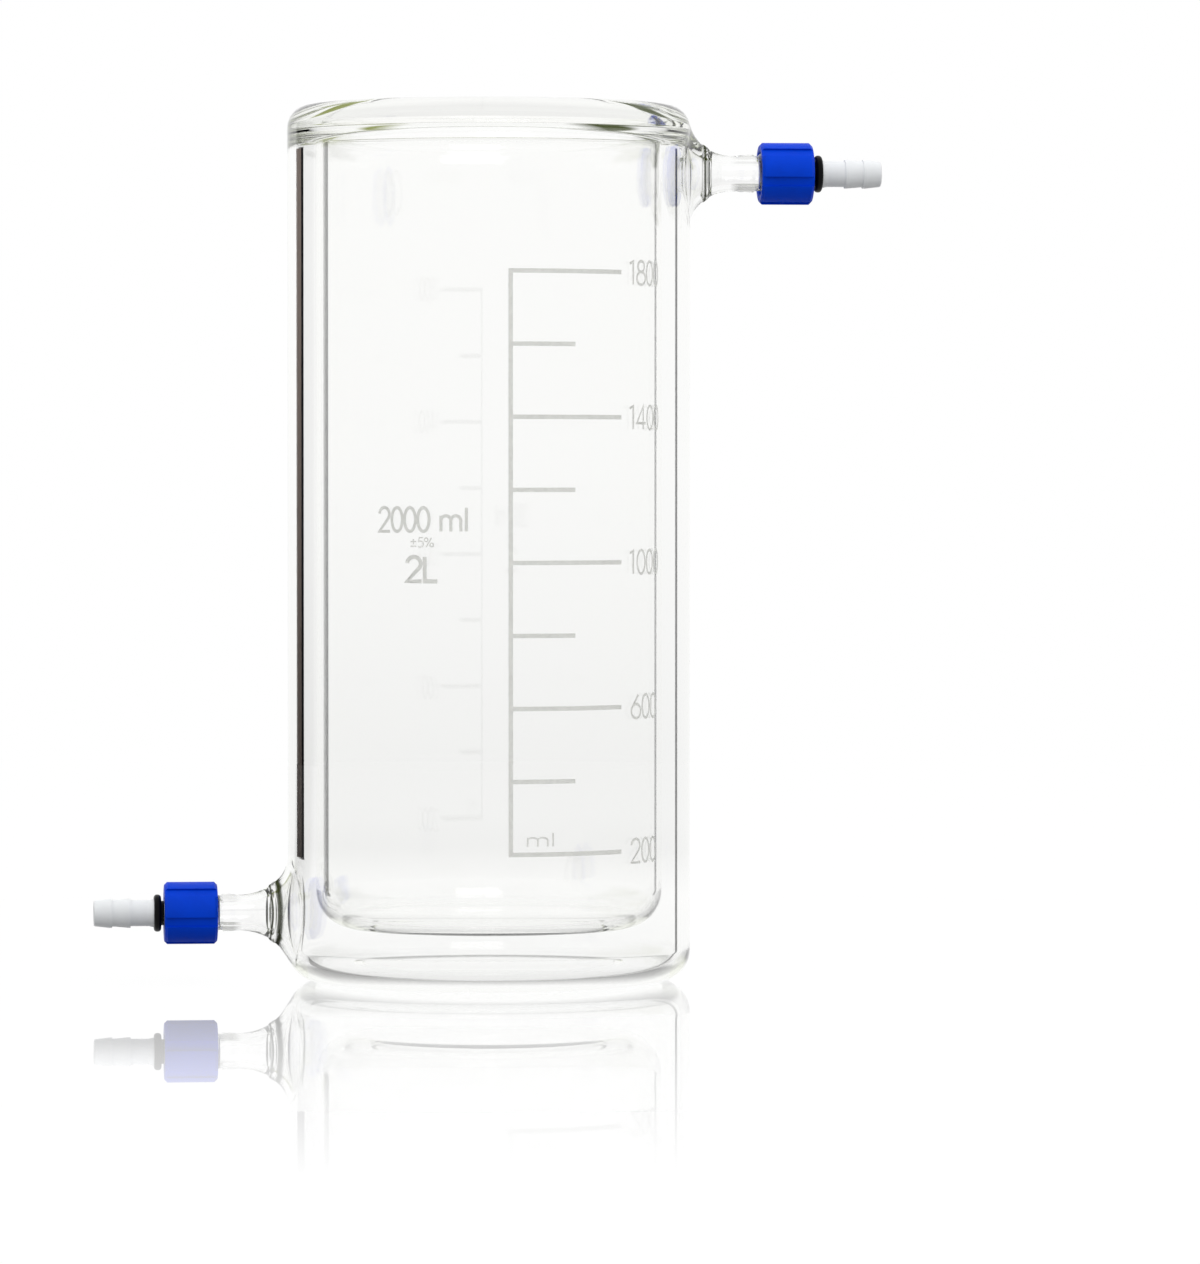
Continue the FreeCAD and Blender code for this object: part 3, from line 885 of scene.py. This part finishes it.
def plastic(name, colour, roughness, speckle, clear=0.0, shine=0.3):
    """Moulded plastic or rubber: faint mottling in colour and gloss, and a fine surface grain."""
    material = bpy.data.materials.new(name)
    material.use_nodes = True
    nodes = Nodes(material.node_tree)
    where = nodes.add("ShaderNodeNewGeometry").outputs["Position"]
    mottle = nodes.noise(where, MOTTLE_SCALE, 3.0)
    grain = nodes.noise(where, GRAIN_SCALE, 2.0)
    darker = tuple(c * (1 - speckle) for c in colour)
    lighter = tuple(min(1.0, c * (1 + speckle)) for c in colour)
    tone = nodes.ramp(mottle, [(0.3, darker), (0.7, lighter)])[0]
    gloss = nodes.levels(mottle, [
        (0.3, roughness * (1 - GLOSS_SPREAD)), (0.7, roughness * (1 + GLOSS_SPREAD))])
    bump = nodes.add("ShaderNodeBump", {"Height": grain, "Strength": GRAIN_STRENGTH, "Distance": GRAIN_DEPTH})
    shader = nodes.add("ShaderNodeBsdfPrincipled", {
        "Base Color": tone, "Roughness": gloss, "Normal": bump.outputs[0], "Subsurface Weight": clear,
        "Subsurface Radius": (0.6, 0.6, 0.6), "Subsurface Scale": 0.002, "Specular IOR Level": shine})
    nodes.add("ShaderNodeOutputMaterial", {"Surface": shader.outputs[0]})
    return material


ENAMEL_DARK = (209, 209, 206)
ENAMEL_PALE = (219, 219, 216)


def enamel():
    """Fired ceramic enamel: matt, slightly uneven in cover."""
    material = bpy.data.materials.new("enamel_print")
    material.use_nodes = True
    nodes = Nodes(material.node_tree)
    where = nodes.add("ShaderNodeNewGeometry").outputs["Position"]
    cover = nodes.noise(where, 900.0, 3.0)
    tone = nodes.ramp(cover, [(0.3, linear(*ENAMEL_DARK)), (0.7, linear(*ENAMEL_PALE))])[0]
    shader = nodes.add("ShaderNodeBsdfPrincipled", {
        "Base Color": tone, "Roughness": 0.6, "Specular IOR Level": 0.2})
    nodes.add("ShaderNodeOutputMaterial", {"Surface": shader.outputs[0]})
    return material


def dress(node, material):
    """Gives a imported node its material."""
    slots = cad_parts[node].data.materials
    slots.clear()
    slots.append(material)


def degrees_between(nodes, angle, stops):
    """Value that changes with an angle in radians: stops of degrees and value, over half a turn each way."""
    place = nodes.maths("ADD", nodes.maths("DIVIDE", angle, 2 * math.pi), 0.5)
    return nodes.levels(place, [(degrees / 360 + 0.5, value) for degrees, value in stops])


# Studio, from stops of degrees and value: dark sides seen through the glass, and the white between them.
# Degrees round the beaker count from straight behind it, to the right.
DARK_SIDES = [(-78, 0), (-72, 1), (-34, 1), (-28, 0), (28, 0), (34, 1), (72, 1), (78, 0)]
DARK_HEIGHTS = [(5, 0), (9, 1), (52, 1), (62, 0)]
OLIVE_LEFT = (132, 142, 48)
OLIVE_RIGHT = (64, 74, 20)
WHITE_BY_HEIGHT = [(-2.6, 0.875), (-0.6, 0.955), (3, 0.985), (12, 1.0)]
SOFT_BY_HEIGHT = [(-60, 0.3), (0, 0.7), (60, 1.25)]

# Dark panel at the back left, seen in mirrored light alone, which goes on down over the far table
PANEL = [(-60, 0), (-54, 1), (-34, 1), (-30, 0)]
PANEL_TOP = [(5, 1), (8, 0)]
PANEL_FOOT = [(0.42, 0.0), (0.6, 1.0)]
PANEL_COLOUR = (0.01, 0.01, 0.012)

# Table, from stops of distance in metres and value
MIRROR_BY_DISTANCE = [(0.12, 0.62), (0.26, 0.45), (0.6, 0.0)]
# Brightness of the table seen through the glass: the dark ring from 57 to 66 mm out is painted shade under
# the jacket's rounded base corner
WHITE_WITH_PAINTED_SHADE_BY_DISTANCE = [(0.057, 0.88), (0.059, 0.25), (0.063, 0.25), (0.066, 0.93), (0.45, 0.97), (0.75, 0.85),
                     (1.0, 0.88)]
WHITE_SHARE = 0.9
TABLE_PAINT = 0.9
TABLE_BOUNCE = 0.3


def make_world():
    """White to the camera. To the glass, a white studio whose sides are dark above the level of the table."""
    world = bpy.data.worlds.new("studio")
    bpy.context.scene.world = world
    world.use_nodes = True
    nodes = Nodes(world.node_tree)
    path = nodes.add("ShaderNodeLightPath")
    way = nodes.add("ShaderNodeSeparateXYZ", {0: nodes.add("ShaderNodeTexCoord").outputs["Generated"]})
    round_angle = nodes.maths("ARCTAN2", way.outputs["X"], way.outputs["Y"])
    up_angle = nodes.maths("ARCSINE", way.outputs["Z"])

    dark_sides = degrees_between(nodes, round_angle, DARK_SIDES)
    above = degrees_between(nodes, up_angle, DARK_HEIGHTS)
    on_left = nodes.maths("LESS_THAN", round_angle, 0.0)
    olive = nodes.blend(on_left, (*linear(*OLIVE_RIGHT), 1), (*linear(*OLIVE_LEFT), 1))
    white = degrees_between(nodes, up_angle, WHITE_BY_HEIGHT)
    studio = nodes.blend(nodes.maths("MULTIPLY", dark_sides, above), white, olive)
    soft = degrees_between(nodes, up_angle, SOFT_BY_HEIGHT)

    panel = degrees_between(nodes, round_angle, PANEL)
    panel_top = degrees_between(nodes, up_angle, PANEL_TOP)
    panel = nodes.maths("MULTIPLY", panel, panel_top)
    mirrored = nodes.blend(panel, (1, 1, 1, 1), (*PANEL_COLOUR, 1))
    colour = nodes.blend(path.outputs["Is Glossy Ray"], soft, mirrored)
    colour = nodes.blend(path.outputs["Is Transmission Ray"], colour, studio)
    colour = nodes.blend(path.outputs["Is Camera Ray"], colour, (1, 1, 1, 1))
    sky = nodes.add("ShaderNodeBackground", {"Color": colour, "Strength": 1.0})
    nodes.add("ShaderNodeOutputWorld", {"Surface": sky.outputs[0]})


def floor_material():
    """Glossy white table: pure white to the camera, a mirror image that fades out, and a soft shadow. Seen
    through the glass, a dark ring is painted on it as shade under the jacket's rounded base corner.
    """
    material = bpy.data.materials.new("white_table")
    material.use_nodes = True
    nodes = Nodes(material.node_tree)
    path = nodes.add("ShaderNodeLightPath")
    where = nodes.add("ShaderNodeNewGeometry").outputs["Position"]
    away = nodes.add("ShaderNodeVectorMath", {0: where}, operation="LENGTH").outputs["Value"]
    mirror_share = nodes.levels(away, MIRROR_BY_DISTANCE)
    seen = nodes.maths("MAXIMUM", path.outputs["Is Camera Ray"], path.outputs["Is Glossy Ray"])
    seen = nodes.maths("MAXIMUM", seen, path.outputs["Is Transmission Ray"])
    pale = nodes.blend(path.outputs["Is Diffuse Ray"], (*(TABLE_PAINT,) * 3, 1), (*(TABLE_BOUNCE,) * 3, 1))
    paint = nodes.add("ShaderNodeBsdfDiffuse", {"Color": pale})
    # Painted shade: the table seen through the glass carries a dark ring under the base corner
    table_through_glass_with_painted_shade = nodes.levels(away, WHITE_WITH_PAINTED_SHADE_BY_DISTANCE)
    spot = nodes.add("ShaderNodeSeparateXYZ", {0: where})
    panel = degrees_between(nodes, nodes.maths("ARCTAN2", spot.outputs["X"], spot.outputs["Y"]), PANEL)
    panel = nodes.maths("MULTIPLY", panel, nodes.levels(away, PANEL_FOOT))
    panel = nodes.maths("MULTIPLY", panel, path.outputs["Is Glossy Ray"])
    mirrored = nodes.blend(panel, (1, 1, 1, 1), (*PANEL_COLOUR, 1))
    white_glow = nodes.blend(path.outputs["Is Transmission Ray"], mirrored, table_through_glass_with_painted_shade)
    glow = nodes.add("ShaderNodeEmission", {"Color": white_glow, "Strength": 1.0})
    white_share = nodes.maths("MULTIPLY", seen, WHITE_SHARE)
    white = nodes.add("ShaderNodeMixShader", {0: white_share, 1: paint.outputs[0], 2: glow.outputs[0]})
    mirror = nodes.add("ShaderNodeBsdfGlossy", {"Color": (1, 1, 1, 1), "Roughness": 0.0})
    shine = nodes.maths("MULTIPLY", mirror_share, path.outputs["Is Camera Ray"])
    surface = nodes.add("ShaderNodeMixShader", {0: shine, 1: white.outputs[0], 2: mirror.outputs[0]})
    nodes.add("ShaderNodeOutputMaterial", {"Surface": surface.outputs[0]})
    return material


def make_floor():
    """A round table top under the beaker."""
    work = bmesh.new()
    bmesh.ops.create_circle(work, cap_ends=True, radius=FLOOR_RADIUS, segments=96)
    mesh = bpy.data.meshes.new("table_top")
    work.to_mesh(mesh)
    work.free()
    mesh.materials.append(floor_material())
    table = bpy.data.objects.new("table_top", mesh)
    bpy.context.scene.collection.objects.link(table)


def make_camera():
    """The photograph's viewpoint: a long lens at about the height of the beaker's middle."""
    camera = bpy.data.objects.new("camera", bpy.data.cameras.new("camera"))
    camera.data.sensor_fit = "VERTICAL"
    camera.data.sensor_height = SENSOR_HEIGHT
    camera.data.lens = LENS
    camera.location = CAMERA_PLACE
    camera.rotation_euler = (math.radians(90 - CAMERA_DOWN), 0, math.radians(CAMERA_TURN))
    bpy.context.scene.collection.objects.link(camera)
    bpy.context.scene.camera = camera


def make_lamp(name, place, size, power):
    """A soft square lamp aimed at the middle of the beaker."""
    lamp = bpy.data.objects.new(name, bpy.data.lights.new(name, "AREA"))
    lamp.data.size = size
    lamp.data.energy = power
    lamp.location = place
    lamp.visible_glossy = False
    aim = Vector((0, 0, HEIGHT * MM / 2)) - Vector(place)
    lamp.rotation_euler = aim.to_track_quat("-Z", "Y").to_euler()
    bpy.context.scene.collection.objects.link(lamp)


make_world()
make_floor()
make_camera()
make_lamp("key_lamp", place=(0.1, -1.2, 1.4), size=0.9, power=6.0)
body = glass_body()
body.data.materials.append(glass_material())
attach(body, "glass_body")
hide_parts("inner_vessel", "outer_jacket", "upper_side_arm", "lower_side_arm")

scale = enamel_print()
scale.data.materials.append(enamel())
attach(scale, "glass_body")

for arm in ("upper", "lower"):
    dress(arm + "_screw_cap", plastic("cap_blue", linear(0, 62, 206), 0.45, 0.06, shine=0.06))
    dress(arm + "_hose_nozzle", plastic("nozzle_white", linear(228, 230, 232), 0.42, 0.02, clear=0.3))
    dress(arm + "_sealing_washer", plastic("washer_silicone", linear(205, 200, 188), 0.5, 0.04))
    dress(arm + "_retaining_ring", plastic("ring_black", linear(8, 8, 9), 0.35, 0.1, shine=0.08))

bpy.context.scene.view_settings.view_transform = "Standard"
bpy.context.scene.cycles.max_bounces = 40
bpy.context.scene.cycles.transmission_bounces = 40
bpy.context.scene.cycles.glossy_bounces = 24
bpy.context.scene.cycles.transparent_max_bounces = 24
